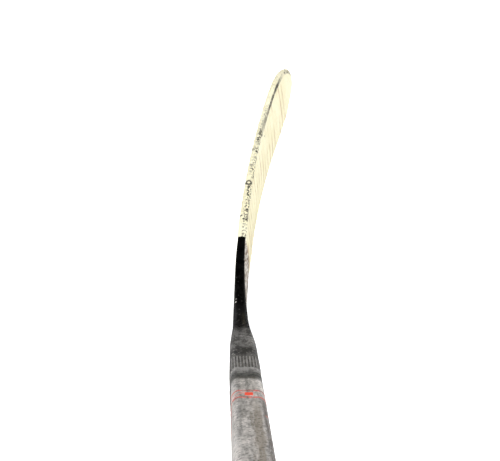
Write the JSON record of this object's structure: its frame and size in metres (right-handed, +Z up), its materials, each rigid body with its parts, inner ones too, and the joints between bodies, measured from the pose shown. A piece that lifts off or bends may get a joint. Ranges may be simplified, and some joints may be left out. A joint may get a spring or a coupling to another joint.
{
  "type": "ice hockey stick",
  "caption": "Left-handed ice hockey stick with a hollow rectangular shaft, a curved blade wound in cloth tape, and a taped grip with a knob at the butt end.",
  "frame": {"origin": "on the ice, under the middle of the blade's taped sole", "axes": "+X along the blade to the toe, +Y to the backhand side, +Z up; the forehand face looks to -Y and the shaft rises towards -X at 45 degrees"},
  "size_m": [1.3892, 0.0757, 1.0898],
  "materials": {
    "shaft_paint": "worn silver-grey lacquer over a carbon laminate, mottled and scratched",
    "plug_plastic": "moulded black nylon",
    "grip_cloth": "black friction cloth tape",
    "band_film": "stretched vinyl tape",
    "red_film": "printed lines under the lacquer, faded to pink where worn",
    "filler": "black epoxy filler",
    "glue": "hot-melt adhesive film",
    "neck_laminate": "black lacquer over carbon laminate, worn to grey near the shaft",
    "foam": "rigid polyurethane foam",
    "tick_film": "printed dark ticks",
    "skin_laminate": "woven carbon laminate",
    "edge_resin": "filled resin",
    "blade_cloth": "used cream cloth tape, scuffed and dirty"
  },
  "bodies": {
    "root": {"shaft_tube": "shaft_paint", "butt_plug": "plug_plastic", "knob_core": "grip_cloth", "grip_wrap": "grip_cloth", "grip_end_band": "band_film", "pinstripe_rings": "red_film", "joint_filler": "filler", "tenon_glue": "glue", "neck_shell": "neck_laminate", "neck_foam_core": "foam", "tick_marks": "tick_film", "forehand_skin": "skin_laminate", "backhand_skin": "skin_laminate", "core_upper": "foam", "core_lower": "foam", "carbon_rib": "skin_laminate", "top_edge_strip": "edge_resin", "sole_edge_strip": "edge_resin", "toe_block": "edge_resin", "blade_tape": "blade_cloth", "toe_tape": "blade_cloth"}
  },
  "joints": []
}
